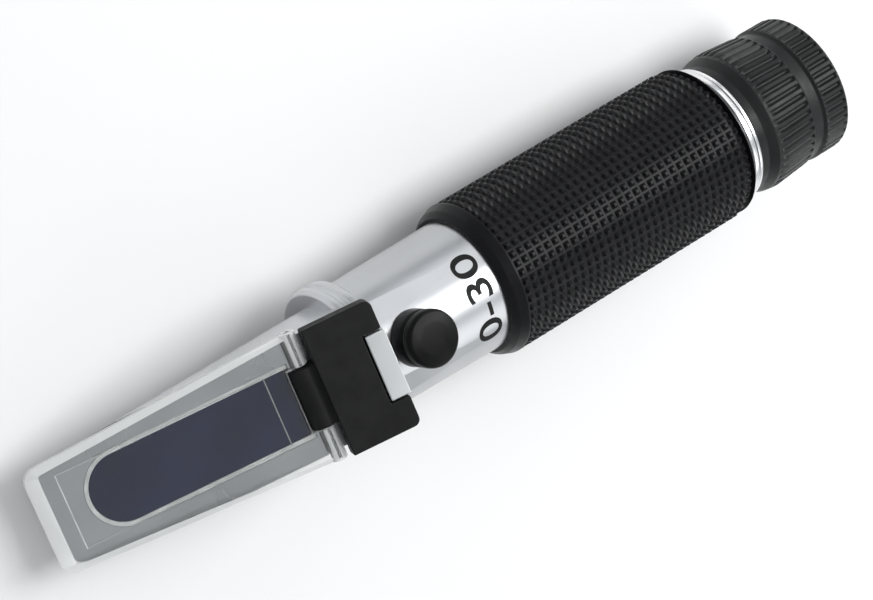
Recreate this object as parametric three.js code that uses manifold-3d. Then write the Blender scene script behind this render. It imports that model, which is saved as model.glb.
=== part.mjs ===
// Hand-held refractometer for brewing and winemaking: a metal prism head and barrel, a clear daylight
// plate on a hinge, a rubber grip and a screw-out focusing eyepiece.
// Millimetres, +Z up. +X runs along the barrel from the prism tip to the eyepiece. The origin is
// under the middle of the instrument, on the surface that the grip lies on.

import * as THREE from 'three';
import { mergeVertices } from 'three/addons/utils/BufferGeometryUtils.js';
import Module from 'manifold-3d';

const wasm = await Module();
wasm.setup();

// ---- driving dimensions -------------------------------------------------------------------------

const LENGTH = 172.4; // tip of the daylight plate to the rim of the eyecup
const TIP_X = -LENGTH / 2;
const EYE_X = LENGTH / 2;
const GRIP_R = 15;
const ROUND = 32; // sides of an outer round piece
const INNER_ROUND = 24; // sides of an inner round piece
const SMALL_ROUND = 16; // sides of a pin or small hole
const AXIS_H = GRIP_R * Math.cos(Math.PI / ROUND); // the grip lies on one of its sides
const GAP = 0.3; // between pieces that touch on the real instrument
const RUN = 0.1; // radial play of a shaft in its hole
const FAR = 60; // reach of a cutting tool that goes right through a piece
const LAP = 1; // depth by which two shapes run into each other before they are joined

// Prism head. "Slope" is the plane of the prism face and the daylight plate. Heights called "up"
// are measured square to that plane from the hinge pin.
const SLOPE = THREE.MathUtils.degToRad(18.4);
const PIN_X = -37.25;
const PIN_H = 9.816; // pin above the optical axis
const PIN_R = 0.6;
const PLATE_UP = 1.15; // top of the plate
const PLATE_LOW = -0.85; // bottom of the plate
const PLATE_TIP_HALF = 9.9;
const PLATE_EAR_HALF = 12.2;
const PLATE_CORNER_R = 2.6;
const KNUCKLE_R = 1.5;
const FACE_UP = PLATE_LOW - GAP; // prism face and the metal frame round it
const PLATE_LENGTH = (PIN_X - TIP_X - PLATE_UP * Math.sin(SLOPE)) / Math.cos(SLOPE);

const HEAD_R = 10.85; // round belly of the head, centred on the optical axis
const HEAD_TIP_X = -83;
const HEAD_WALL = 2; // metal in front of the prism bay
const BAY_R = 9; // light passage through the head
const COLLAR_FRONT_X = -26.2;
const COLLAR_REAR_X = -21.2;
const COLLAR_R = 14.05;
const COLLAR_RIDGE = 0.5;
const COLLAR_BORE_R = 12.6;

const PRISM_HALF = 6.2;
const PRISM_FRONT = -41.9; // along the slope from the pin
const PRISM_REAR_X = -39.6; // upright exit face
const PRISM_FLOOR = -6; // below the optical axis
const SEAL_WIDTH = 0.5;
const SEAL_DEPTH = 1;
const SEAL_PLAY = 0.2;
const BAY_HALF = PRISM_HALF + SEAL_WIDTH + 2 * SEAL_PLAY;
const BAY_REAR = -2; // along the slope from the pin

const TONGUE_R = 2.4;
const TONGUE_HALF = 5.6;
const TONGUE_STEP_UP = 2;
const WING_FRONT = 2;
const WING_REAR = 15;
const WING_HALF = 12;
const WING_UP = 3.36;
const WING_THICKNESS = 3;
const WING_CORNER_R = 1.2;
const NOTCH_FRONT = 11.4;
const BLOCK_HALF = 6.2;
const BLOCK_REAR_X = -23.6;
const BLOCK_LENGTH = 8;
const BLOCK_LOW = -2.4;
const FOOT_REAR = 10.8;
const POCKET_PLAY = 0.4; // round each knuckle of the plate

// Barrel, grip and eyepiece, as stations along the optical axis.
const BARREL_FRONT_X = -24;
const BARREL_REAR_X = 61.8;
const BARREL_R_FRONT = 12.3;
const BARREL_R_REAR = 12.6;
const BARREL_BORE_R = 10.9;
const FLAT_X = [-20.4, -4];
const FLAT_DISTANCE = 12.07; // front edge of a milled flat, from the optical axis
const FLAT_TILT = THREE.MathUtils.degToRad(1.3); // it runs out into the round towards the grip
const FLAT_ANGLE = THREE.MathUtils.degToRad(35); // round the barrel from the top
const FLAT_HALF = 8;
const GRIP_X = [3.5, 62];
const TRIM_X = [62.3, 64.4];
const TRIM_R = 13.3;
const NOSE_R = 11;
const NOSE_BORE_R = 9.6;
const NOSE_X = [53, 77.5];
const NOSE_STEP = 0.4; // end of the wide seat, in front of the end of the barrel
const COVER_X = [64.7, EYE_X];
const CORE_X = [65, 84];
const CORE_R = 12.1;
const GROOVE_X = [77.6, 80.2]; // smooth groove between the two ribbed bands
const GROOVE_R = 12.9;
const OCULAR_X = [63.4, 79.7];
const OCULAR_R = 9.3;
const OCULAR_BORE_R = 8.3;
const EYECUP_R = 9.5;
const RETICLE_X = [55, 56.5];
const RETICLE_RING_X = [53.4, 54.7];
const RETICLE_R = 9.3;
const THIN_RING = 1.2; // radial reach of a retainer, spacer or baffle into its bore
const APERTURE_X = [-26, -25];
const APERTURE_R = 5;
const OBJECTIVE_X = [-17.4, -14.8];
const OBJECTIVE_RETAINER_X = [-14, -13];
const BAFFLE_X = [15, 51];
const FIELD_LENS_X = [65, 67.2];
const SPACER_X = [68.4, 74];
const EYE_LENS_X = [75.4, 77.8];
const LENS_RETAINER_X = [78.4, 79.4];
const ORING_X = 74.5;
const ORING_R = 0.4;
const ORING_GROOVE = [0.6, 0.7]; // half widths at the bottom and at the top, and the top one is its depth
const KEY_X = 70;
const KEY_R = 0.7;

// Calibration screw, square to the barrel on top of it.
const CAL_X = -15.6;
const CAP_R = 5.2;
const CAP_TOP = 18.7; // above the optical axis, as every height in this group is
const CAP_WALL = 1;
const CAP_CROWN = 1.5; // thickness of its top
const SCREW_R = 1.4;
const SCREW_HEAD_R = 2.2;
const SCREW_HEAD_Z = [13.7, 15];
const SCREW_END_Z = 8;
const SLOT_HALF = 0.3;
const SLOT_DEPTH = 0.6;
const SCREW_PLAY = 0.2;
const BUSH_R = 2.6;
const BUSH_Z = [10.3, 13.4];
const BUSH_FLANGE_R = 3.1;
const BUSH_FLANGE_Z = 12.75;
const CARRIER_X = [-18.6, -12.6];
const CARRIER_R = 8.4;
const CARRIER_BORE_R = 6.6;
const BOSS_HALF = [2.4, 2.6];
const STRIP_X = [-13, 7.6];
const STRIP_HALF = 2.5;
const STRIP_Z = [-9.2, -8.7];
const ANCHOR_X = [8, 13];
const ANCHOR_MIDDLE = (ANCHOR_X[0] + ANCHOR_X[1]) / 2;
const ANCHOR_HALF = 3;
const ANCHOR_Z = [-10.2, -7.6];
const ANCHOR_SCREW_R = 0.9;
const ANCHOR_HEAD_R = 1.7;
const ANCHOR_HEAD_HEIGHT = 1;

// ---- materials ----------------------------------------------------------------------------------

const look = (color, roughness, metalness, opacity = 1) =>
  new THREE.MeshStandardMaterial({ color, roughness, metalness, opacity, transparent: opacity < 1 });

const SATIN_METAL = () => look(0xc8cad0, 0.32, 1);
const CHROME = () => look(0xe6e8ea, 0.12, 1);
const STEEL = () => look(0xb4b6b8, 0.25, 1);
const BRASS = () => look(0xb8934a, 0.35, 1);
const BLACK_METAL = () => look(0x1a1a1c, 0.6, 0.6);
const BLACK_PLASTIC = () => look(0x1b1b1b, 0.55, 0);
const BLACK_RUBBER = () => look(0x202122, 0.75, 0);
const CLEAR_PLASTIC = () => look(0xe2eae8, 0.1, 0, 0.4);
const PRISM_GLASS = () => look(0x262b4a, 0.08, 0, 0.85);
const LENS_GLASS = () => look(0xdde8ee, 0.03, 0, 0.4);
const SEALANT = () => look(0xc4cbc9, 0.5, 0);
const BIMETAL = () => look(0x9a8f7c, 0.4, 1);

// ---- helpers ------------------------------------------------------------------------------------

// A revolved solid. The profile is a list of [station along the axis, radius] and closes on itself.
function revolved(profile, sides = INNER_ROUND) {
  const points = [...profile, profile[0]].map(([station, radius]) => new THREE.Vector2(radius, station));
  return new THREE.LatheGeometry(points, sides, Math.PI / sides);
}

function tube([from, to], innerR, outerR, sides = INNER_ROUND) {
  return revolved([[from, outerR], [to, outerR], [to, innerR], [from, innerR]], sides);
}

// A thin ring that fits in a bore.
const ringInBore = (stations, boreR) => tube(stations, boreR - THIN_RING, boreR - GAP);

// A solid disc or lens: rear and front bulge by the given sagittas, with a flat edge between them.
function lens([from, to], radius, bulgeFront, bulgeRear, sides = INNER_ROUND) {
  const points = [];
  const steps = 3;
  for (let i = 0; i <= steps; i += 1) {
    const reach = i / steps;
    points.push(new THREE.Vector2(radius * reach, from - bulgeFront * (1 - reach * reach)));
  }
  for (let i = steps; i >= 0; i -= 1) {
    const reach = i / steps;
    points.push(new THREE.Vector2(radius * reach, to + bulgeRear * (1 - reach * reach)));
  }
  return new THREE.LatheGeometry(points, sides, Math.PI / sides);
}

// A flat shape drawn in X and Z, thickened evenly to both sides of Y = 0.
function extrudedAcross(shape, half, curveSegments = 8) {
  const geometry = new THREE.ExtrudeGeometry(shape, { depth: 2 * half, bevelEnabled: false, curveSegments });
  return geometry.rotateX(Math.PI / 2).translate(0, half, 0);
}

// A flat shape drawn in X and Y, raised from one height to another.
function extrudedUp(shape, low, high, curveSegments = 8) {
  const depth = high - low;
  return new THREE.ExtrudeGeometry(shape, { depth, bevelEnabled: false, curveSegments }).translate(0, 0, low);
}

function boxBetween([x0, x1], [y0, y1], [z0, z1]) {
  const box = new THREE.BoxGeometry(x1 - x0, y1 - y0, z1 - z0);
  return box.translate((x0 + x1) / 2, (y0 + y1) / 2, (z0 + z1) / 2);
}

function rodAlongY(radius, from, to, sides = SMALL_ROUND) {
  return new THREE.CylinderGeometry(radius, radius, to - from, sides).translate(0, (from + to) / 2, 0);
}

function rodAlongZ(radius, from, to, sides = SMALL_ROUND) {
  return rodAlongY(radius, from, to, sides).rotateX(Math.PI / 2);
}

function rodAlongX(radius, from, to, sides = ROUND) {
  const rod = new THREE.CylinderGeometry(radius, radius, to - from, sides, 1, false, Math.PI / sides);
  return rod.translate(0, (from + to) / 2, 0).rotateZ(-Math.PI / 2);
}

// Booleans: a closed three.js geometry to a manifold solid and back.
function solid(geometry) {
  const bare = geometry.clone();
  bare.deleteAttribute('normal');
  bare.deleteAttribute('uv');
  const merged = mergeVertices(bare, 1e-4);
  const vertProperties = new Float32Array(merged.attributes.position.array);
  const triVerts = new Uint32Array(merged.index.array);
  const mesh = new wasm.Mesh({ numProp: 3, vertProperties, triVerts });
  mesh.merge();
  return new wasm.Manifold(mesh);
}

function geometryOf(manifold) {
  const { vertProperties, triVerts } = manifold.getMesh();
  const geometry = new THREE.BufferGeometry();
  geometry.setAttribute('position', new THREE.BufferAttribute(new Float32Array(vertProperties), 3));
  geometry.setIndex(new THREE.BufferAttribute(new Uint32Array(triVerts), 1));
  geometry.computeVertexNormals();
  return geometry;
}

const cut = (geometry, ...tools) =>
  geometryOf(tools.reduce((whole, tool) => whole.subtract(solid(tool)), solid(geometry)));

const joined = (...geometries) => geometryOf(geometries.map(solid).reduce((whole, next) => whole.add(next)));

const common = (first, second) => geometryOf(solid(first).intersect(solid(second)));

function part(name, geometry, material) {
  const mesh = new THREE.Mesh(geometry, material);
  mesh.name = name;
  return mesh;
}

// A lathe turns about its own Y axis. This turns it to lie along X, for booleans with other shapes.
const layAlongX = (geometry) => geometry.rotateZ(-Math.PI / 2);

// ---- prism head, drawn from the hinge pin with X along the slope ----------------------------------

// The long window outline: a half circle at the tip end and a square end under the hinge.
function windowOutline(front, rear, half) {
  const centre = front + half;
  const outline = new THREE.Shape();
  outline.moveTo(rear, -half);
  outline.lineTo(rear, half);
  outline.lineTo(centre, half);
  outline.absarc(centre, 0, half, Math.PI / 2, 1.5 * Math.PI);
  outline.closePath();
  return outline;
}

// From row coordinates (with heights from the optical axis) to the slope frame of the hinge pin.
function ontoSlope(geometry) {
  return geometry.translate(-PIN_X, 0, -PIN_H).rotateY(SLOPE);
}

// A trough with a round belly, cut off along the slope.
function headBelly() {
  const belly = new THREE.Shape();
  belly.absarc(0, 0, HEAD_R, Math.PI, 2 * Math.PI);
  belly.lineTo(HEAD_R, FAR);
  belly.lineTo(-HEAD_R, FAR);
  belly.closePath();
  const depth = COLLAR_FRONT_X + LAP - HEAD_TIP_X;
  const trough = new THREE.ExtrudeGeometry(belly, { depth, bevelEnabled: false, curveSegments: 16 });
  trough.rotateX(Math.PI / 2).rotateZ(Math.PI / 2).translate(HEAD_TIP_X, 0, 0);
  const aboveFace = boxBetween([-2 * FAR, 2 * FAR], [-FAR, FAR], [FACE_UP, 2 * FAR]);
  return solid(ontoSlope(trough)).subtract(solid(aboveFace));
}

// The block that stands in the notch of the hinge bracket.
function bracketBlock() {
  const front = NOTCH_FRONT + GAP;
  const block = boxBetween([front, front + BLOCK_LENGTH], [-BLOCK_HALF, BLOCK_HALF], [BLOCK_LOW, WING_UP]);
  const behind = ontoSlope(boxBetween([BLOCK_REAR_X, FAR], [-FAR, FAR], [-FAR, FAR]));
  return solid(block).subtract(solid(behind));
}

// The bay that holds the prism, open on top, with a round floor.
function prismBay() {
  const front = HEAD_TIP_X + HEAD_WALL;
  const outline = windowOutline(PRISM_FRONT - BAY_HALF + PRISM_HALF, BAY_REAR, BAY_HALF);
  const bay = solid(extrudedUp(outline, -FAR, FAR));
  const floor = solid(ontoSlope(rodAlongX(BAY_R, front, 0)));
  const aboveFloor = solid(ontoSlope(boxBetween([front, 0], [-BAY_R, BAY_R], [0, FAR])));
  return bay.intersect(floor.add(aboveFloor));
}

function prismHousing() {
  const collar = solid(ontoSlope(layAlongX(collarRing())));
  const rear = COLLAR_REAR_X + LAP;
  const passage = solid(ontoSlope(rodAlongX(BAY_R, PRISM_REAR_X - LAP, rear)));
  const socket = solid(ontoSlope(rodAlongX(COLLAR_BORE_R, BARREL_FRONT_X - GAP, rear)));
  const pocketR = KNUCKLE_R + POCKET_PLAY;
  const slot = TONGUE_HALF + GAP;
  const pockets = solid(rodAlongY(pocketR, slot, FAR)).add(solid(rodAlongY(pocketR, -FAR, -slot)));

  const whole = headBelly().add(collar).add(bracketBlock());
  const hollows = [prismBay(), passage, socket, pockets];
  return geometryOf(hollows.reduce((rest, hollow) => rest.subtract(hollow), whole));
}

// The ridged collar between the head and the barrel.
function collarRing() {
  const ridge = COLLAR_RIDGE;
  const valley = COLLAR_R - ridge;
  const middle = (COLLAR_FRONT_X + COLLAR_REAR_X) / 2;
  return revolved([
    [COLLAR_FRONT_X, valley], [COLLAR_FRONT_X + ridge, COLLAR_R],
    [middle - 2 * ridge, COLLAR_R], [middle - ridge, valley],
    [middle + ridge, valley], [middle + 2 * ridge, COLLAR_R],
    [COLLAR_REAR_X - ridge, COLLAR_R], [COLLAR_REAR_X, valley],
    [COLLAR_REAR_X, BAY_R], [COLLAR_FRONT_X, BAY_R],
  ], ROUND);
}

// A wedge of glass: sloping wet face with a round tip end, upright exit face, flat bottom.
function mainPrism() {
  const column = extrudedUp(windowOutline(PRISM_FRONT, BAY_REAR + FAR, PRISM_HALF), -FAR, FACE_UP);
  const room = ontoSlope(boxBetween([TIP_X, PRISM_REAR_X], [-FAR, FAR], [PRISM_FLOOR, FAR]));
  return common(column, room);
}

// The bead of sealant between the prism and the metal frame.
function prismSeal() {
  const outer = PRISM_HALF + SEAL_PLAY + SEAL_WIDTH;
  const inner = PRISM_HALF + SEAL_PLAY;
  const front = PRISM_FRONT - SEAL_PLAY;
  const rear = BAY_REAR - SEAL_PLAY;
  const bead = windowOutline(front - SEAL_WIDTH, rear, outer);
  bead.holes.push(windowOutline(front, rear - SEAL_WIDTH, inner));
  return extrudedUp(bead, FACE_UP - SEAL_DEPTH, FACE_UP);
}

const pinHole = () => rodAlongY(PIN_R + RUN, -FAR, FAR);

// Plan of the plate: round corners at the tip, and two ears each side of the tongue at the hinge.
function plateOutline() {
  const rear = -TONGUE_R - GAP;
  const slot = TONGUE_HALF + GAP;
  const tip = -PLATE_LENGTH;
  const corner = PLATE_CORNER_R;
  const outline = new THREE.Shape();
  outline.moveTo(rear, -slot);
  outline.lineTo(rear, slot);
  outline.lineTo(0, slot);
  outline.lineTo(0, PLATE_EAR_HALF);
  outline.lineTo(tip + corner, PLATE_TIP_HALF);
  outline.absarc(tip + corner, PLATE_TIP_HALF - corner, corner, Math.PI / 2, Math.PI);
  outline.absarc(tip + corner, corner - PLATE_TIP_HALF, corner, Math.PI, 1.5 * Math.PI);
  outline.lineTo(0, -PLATE_EAR_HALF);
  outline.lineTo(0, -slot);
  outline.closePath();
  return outline;
}

// The clear plate with its two ears, each ending in a knuckle bored for the pin.
function daylightPlate() {
  const slot = TONGUE_HALF + GAP;
  const knuckle = rodAlongY(KNUCKLE_R, slot, PLATE_EAR_HALF);
  const otherKnuckle = rodAlongY(KNUCKLE_R, -PLATE_EAR_HALF, -slot);
  const whole = joined(extrudedUp(plateOutline(), PLATE_LOW, PLATE_UP, 4), knuckle, otherKnuckle);
  return cut(whole, pinHole());
}

// Plan of the wings: two round rear corners each side of the notch that clears the block.
function wingOutline() {
  const notch = BLOCK_HALF + GAP;
  const inner = WING_HALF - WING_CORNER_R;
  const outline = new THREE.Shape();
  outline.moveTo(WING_FRONT, -WING_HALF);
  outline.lineTo(WING_REAR - WING_CORNER_R, -WING_HALF);
  outline.absarc(WING_REAR - WING_CORNER_R, -inner, WING_CORNER_R, -Math.PI / 2, 0);
  outline.lineTo(WING_REAR, -notch);
  outline.lineTo(NOTCH_FRONT, -notch);
  outline.lineTo(NOTCH_FRONT, notch);
  outline.lineTo(WING_REAR, notch);
  outline.absarc(WING_REAR - WING_CORNER_R, inner, WING_CORNER_R, 0, Math.PI / 2);
  outline.lineTo(WING_FRONT, WING_HALF);
  outline.closePath();
  return outline;
}

// Side view of the tongue: a round nose about the pin, and a foot under the wings.
function tongueProfile() {
  const noseLow = Math.asin(PLATE_LOW / TONGUE_R);
  const stepAngle = Math.asin(TONGUE_STEP_UP / TONGUE_R);
  const outline = new THREE.Shape();
  outline.moveTo(-TONGUE_R * Math.cos(noseLow), PLATE_LOW);
  outline.absarc(0, 0, TONGUE_R, Math.PI - noseLow, stepAngle, true);
  outline.lineTo(WING_FRONT + LAP, TONGUE_STEP_UP);
  outline.lineTo(FOOT_REAR, WING_UP - LAP);
  outline.lineTo(FOOT_REAR, PLATE_LOW);
  outline.closePath();
  return outline;
}

function hingeBracket() {
  const wings = extrudedUp(wingOutline(), WING_UP - WING_THICKNESS, WING_UP, 4);
  const tongue = extrudedAcross(tongueProfile(), TONGUE_HALF);
  return cut(joined(wings, tongue), pinHole());
}

// ---- barrel group, drawn along the optical axis ---------------------------------------------------

// The barrel swells slightly towards the grip, has a milled flat each side of the calibration
// screw, and a hole for the screw's bush.
function barrelTube() {
  const wall = layAlongX(revolved([
    [BARREL_FRONT_X, BARREL_R_FRONT], [FLAT_X[0], BARREL_R_FRONT], [GRIP_X[0], BARREL_R_REAR],
    [BARREL_REAR_X, BARREL_R_REAR], [BARREL_REAR_X, BARREL_BORE_R], [BARREL_FRONT_X, BARREL_BORE_R],
  ], ROUND));
  const hole = rodAlongZ(BUSH_R + RUN, 0, FAR).translate(CAL_X, 0, 0);
  return cut(wall, flatCutter(1), flatCutter(-1), hole);
}

// Takes the side flat off the barrel, tilted so that it runs out into the round.
function flatCutter(side) {
  const [front, rear] = FLAT_X;
  const slab = boxBetween([0, rear - front], [-FLAT_HALF, FLAT_HALF], [0, FLAT_HALF]).rotateY(-FLAT_TILT);
  return slab.translate(front, 0, FLAT_DISTANCE).rotateX(side * FLAT_ANGLE);
}

function gripSleeve() {
  const [front, rear] = GRIP_X;
  const inner = BARREL_R_REAR + GAP;
  return revolved([
    [front, 13.2], [front + 1.1, 14.2], [front + 3.2, GRIP_R], [rear - 2.6, GRIP_R],
    [rear - 0.9, 14.5], [rear, 13.6], [rear, inner], [front, inner],
  ], ROUND);
}

// A bright ring with one shallow groove round its middle.
function trimRing() {
  const [front, rear] = TRIM_X;
  const middle = (front + rear) / 2;
  const inner = NOSE_R + GAP;
  return revolved([
    [front, TRIM_R], [middle - 0.3, TRIM_R], [middle, TRIM_R - 0.25], [middle + 0.3, TRIM_R],
    [rear, TRIM_R], [rear, inner], [front, inner],
  ], ROUND);
}

// The fixed nose that the eyepiece screws along: a seat for the scale glass, a groove for the
// O-ring, and a hole for the key pin.
function noseTube() {
  const [front, rear] = NOSE_X;
  const seatR = BARREL_BORE_R - GAP;
  const glassSeatR = RETICLE_R + 0.2;
  const glassStop = RETICLE_X[1] + GAP;
  const stopR = RETICLE_R - LAP;
  const stopRear = glassStop + LAP;
  const [grooveLow, grooveTop] = ORING_GROOVE;
  const grooveR = NOSE_R - grooveTop;
  const wall = layAlongX(revolved([
    [front, seatR], [BARREL_REAR_X - NOSE_STEP, seatR], [BARREL_REAR_X + GAP, NOSE_R],
    [ORING_X - grooveTop, NOSE_R], [ORING_X - grooveLow, grooveR],
    [ORING_X + grooveLow, grooveR], [ORING_X + grooveTop, NOSE_R],
    [rear, NOSE_R], [rear, NOSE_BORE_R], [stopRear, NOSE_BORE_R], [stopRear, stopR],
    [glassStop, stopR], [glassStop, glassSeatR], [front, glassSeatR],
  ]));
  return cut(wall, rodAlongZ(KEY_R + RUN, 0, FAR).translate(KEY_X, 0, 0));
}

// Two raised bands with a shallow groove between them, and a lip that forms the eyecup.
function eyepieceCover() {
  const [front, rear] = COVER_X;
  const lip = CORE_X[1] + GAP;
  const inner = CORE_R + GAP;
  return revolved([
    [front, 12.6], [front + 1.8, 12.8], [front + 3.4, 13.7], [front + 5.4, 13.9],
    [GROOVE_X[0] - 0.4, 13.5], [GROOVE_X[0], GROOVE_R], [GROOVE_X[1], GROOVE_R], [GROOVE_X[1] + 0.4, 13.45],
    [rear - 0.8, 13.4], [rear, 12.7], [rear, EYECUP_R], [lip, EYECUP_R], [lip, inner], [front, inner],
  ], ROUND);
}

// The threaded core that the cover is stretched over, with a rim that carries the ocular.
function focusRing() {
  const [front, rear] = CORE_X;
  const inner = NOSE_R + GAP;
  const rim = OCULAR_X[1] + GAP;
  return revolved([
    [front, CORE_R], [rear, CORE_R], [rear, EYECUP_R - 0.4], [rim, OCULAR_BORE_R], [rim, inner],
    [front, inner],
  ], ROUND);
}

// The lens tube, keyed so that it slides without turning.
function ocularTube() {
  const [front, rear] = OCULAR_X;
  const stopR = OCULAR_BORE_R - 1.2;
  const wall = layAlongX(revolved([
    [front, OCULAR_R], [rear, OCULAR_R], [rear, OCULAR_BORE_R], [front + 1, OCULAR_BORE_R],
    [front + 1, stopR], [front, stopR],
  ]));
  const halfWidth = KEY_R + 2 * RUN;
  return cut(wall, boxBetween([front + 1.4, KEY_X + 2], [-halfWidth, halfWidth], [0, FAR]));
}

function focusOring() {
  const sides = 8;
  const profile = [];
  for (let i = 0; i < sides; i += 1) {
    const angle = -(i * 2 * Math.PI) / sides;
    profile.push([ORING_X - ORING_R * Math.cos(angle), NOSE_R - 0.2 - ORING_R * Math.sin(angle)]);
  }
  return revolved(profile);
}

// ---- calibration group: cap, bush, screw, and the lens that the screw moves -----------------------

// A hollow rubber cap, drawn upright, that sits astride the barrel.
function calibrationCap() {
  const crown = CAP_TOP - CAP_CROWN;
  const profile = [[0, 0], [CAP_R, 0], [CAP_R, crown], [CAP_R - 0.5, CAP_TOP - 0.6],
    [CAP_R - 1.5, CAP_TOP - 0.1], [0, CAP_TOP]];
  const points = profile.map(([radius, height]) => new THREE.Vector2(radius, height));
  const plug = new THREE.LatheGeometry(points, INNER_ROUND).rotateX(Math.PI / 2);
  const hollow = rodAlongZ(CAP_R - CAP_WALL, -LAP, crown);
  const barrel = rodAlongX(BARREL_R_REAR + 0.2, -FAR, FAR);
  return cut(plug, hollow, barrel);
}

// A brass bush in the barrel wall, flanged on top.
function calibrationBush() {
  const [low, top] = BUSH_Z;
  const body = rodAlongZ(BUSH_R, low, top);
  const flange = rodAlongZ(BUSH_FLANGE_R, BUSH_FLANGE_Z, top);
  return cut(joined(body, flange), rodAlongZ(SCREW_R + SCREW_PLAY, 0, FAR));
}

// A slotted screw, held in the bush by its head, with its thread in the lens carrier.
function calibrationScrew() {
  const [headLow, headTop] = SCREW_HEAD_Z;
  const shank = rodAlongZ(SCREW_R, SCREW_END_Z, headLow + SLOT_DEPTH);
  const head = rodAlongZ(SCREW_HEAD_R, headLow, headTop);
  const slot = boxBetween([-FAR, FAR], [-SLOT_HALF, SLOT_HALF], [headTop - SLOT_DEPTH, FAR]);
  return cut(joined(shank, head), slot);
}

// The ring that holds the objective lens, with a boss tapped for the calibration screw and a foot
// for the bimetal strip.
function lensCarrier() {
  const [front, rear] = CARRIER_X;
  const ring = layAlongX(tube(CARRIER_X, CARRIER_BORE_R, CARRIER_R));
  const [halfX, halfY] = BOSS_HALF;
  const bossZ = [CARRIER_R - LAP, CARRIER_R + LAP];
  const boss = boxBetween([CAL_X - halfX, CAL_X + halfX], [-halfY, halfY], bossZ);
  const footZ = [STRIP_Z[1] + GAP, LAP - CARRIER_R];
  const foot = boxBetween([CAL_X, rear + 2 * LAP], [-STRIP_HALF, STRIP_HALF], footZ);
  const bore = rodAlongX(CARRIER_BORE_R, front - LAP, rear + 3 * LAP, INNER_ROUND);
  const thread = rodAlongZ(SCREW_R + SCREW_PLAY, SCREW_END_Z - LAP, FAR).translate(CAL_X, 0, 0);
  return cut(joined(ring, boss, foot), bore, thread);
}

function bimetalStrip() {
  return boxBetween(STRIP_X, [-STRIP_HALF, STRIP_HALF], STRIP_Z);
}

function bimetalAnchor() {
  const block = boxBetween(ANCHOR_X, [-ANCHOR_HALF, ANCHOR_HALF], ANCHOR_Z);
  return cut(block, rodAlongZ(ANCHOR_SCREW_R + RUN, -FAR, 0).translate(ANCHOR_MIDDLE, 0, 0));
}

function bimetalScrew() {
  const headLow = ANCHOR_Z[1] + GAP;
  const headTop = headLow + ANCHOR_HEAD_HEIGHT;
  const shank = rodAlongZ(ANCHOR_SCREW_R, ANCHOR_Z[0] + 0.4, headLow + GAP);
  return joined(shank, rodAlongZ(ANCHOR_HEAD_R, headLow, headTop));
}

// ---- assembly -----------------------------------------------------------------------------------

const refractometer = new THREE.Group();

// Everything hangs on the optical axis.
const axis = new THREE.Group();
axis.position.z = AXIS_H;
refractometer.add(axis);

const head = new THREE.Group();
head.position.set(PIN_X, 0, PIN_H);
head.rotation.y = -SLOPE;
head.add(
  part('prism_housing', prismHousing(), SATIN_METAL()),
  part('main_prism', mainPrism(), PRISM_GLASS()),
  part('prism_seal', prismSeal(), SEALANT()),
  part('daylight_plate', daylightPlate(), CLEAR_PLASTIC()),
  part('hinge_bracket', hingeBracket(), BLACK_PLASTIC()),
  part('hinge_pin', rodAlongY(PIN_R, -WING_HALF, WING_HALF), STEEL()),
);

// Round pieces are turned from lathe profiles, whose axis is laid along the barrel here.
const turned = new THREE.Group();
turned.rotation.z = -Math.PI / 2;
turned.add(
  part('aperture_stop', tube(APERTURE_X, APERTURE_R, BAY_R - GAP), BLACK_METAL()),
  part('objective_lens', lens(OBJECTIVE_X, CARRIER_BORE_R - GAP, 0.6, 0.3), LENS_GLASS()),
  part('objective_retainer', ringInBore(OBJECTIVE_RETAINER_X, CARRIER_BORE_R), BLACK_METAL()),
  part('baffle_tube', ringInBore(BAFFLE_X, BARREL_BORE_R), BLACK_METAL()),
  part('grip_sleeve', gripSleeve(), BLACK_RUBBER()),
  part('reticle_ring', tube(RETICLE_RING_X, RETICLE_R - THIN_RING, RETICLE_R), BLACK_METAL()),
  part('reticle_glass', lens(RETICLE_X, RETICLE_R, 0, 0), LENS_GLASS()),
  part('trim_ring', trimRing(), CHROME()),
  part('focus_oring', focusOring(), BLACK_RUBBER()),
  part('focus_ring', focusRing(), BLACK_PLASTIC()),
  part('eyepiece_cover', eyepieceCover(), BLACK_RUBBER()),
  part('field_lens', lens(FIELD_LENS_X, OCULAR_BORE_R - GAP, 0, 0.8), LENS_GLASS()),
  part('lens_spacer', ringInBore(SPACER_X, OCULAR_BORE_R), BLACK_METAL()),
  part('eye_lens', lens(EYE_LENS_X, OCULAR_BORE_R - GAP, 0.8, 0.5), LENS_GLASS()),
  part('lens_retainer', ringInBore(LENS_RETAINER_X, OCULAR_BORE_R), BLACK_METAL()),
);

const calibration = new THREE.Group();
calibration.position.x = CAL_X;
calibration.add(
  part('calibration_cap', calibrationCap(), BLACK_RUBBER()),
  part('calibration_bush', calibrationBush(), BRASS()),
  part('calibration_screw', calibrationScrew(), BRASS()),
);

const keyPin = part('ocular_key', rodAlongZ(KEY_R, OCULAR_R - 0.6, NOSE_R - 0.1), STEEL());
keyPin.position.x = KEY_X;
const anchorScrew = part('bimetal_screw', bimetalScrew(), STEEL());
anchorScrew.position.x = ANCHOR_MIDDLE;

axis.add(
  head,
  turned,
  calibration,
  part('barrel_tube', barrelTube(), SATIN_METAL()),
  part('nose_tube', noseTube(), BLACK_METAL()),
  part('ocular_tube', ocularTube(), BLACK_METAL()),
  part('lens_carrier', lensCarrier(), BRASS()),
  part('bimetal_strip', bimetalStrip(), BIMETAL()),
  part('bimetal_anchor', bimetalAnchor(), BRASS()),
  keyPin,
  anchorScrew,
);

export default refractometer;
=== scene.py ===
"""Looks for a hand-held brewing refractometer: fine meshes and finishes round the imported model.

Meshes are drawn in millimetres, either along the optical axis (X along the barrel, Z = 0 on the
axis) or on the slope of the prism (X up the slope from the hinge pin, Z square to the prism face),
and are then placed in the row frame in metres.
"""

import math

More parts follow.
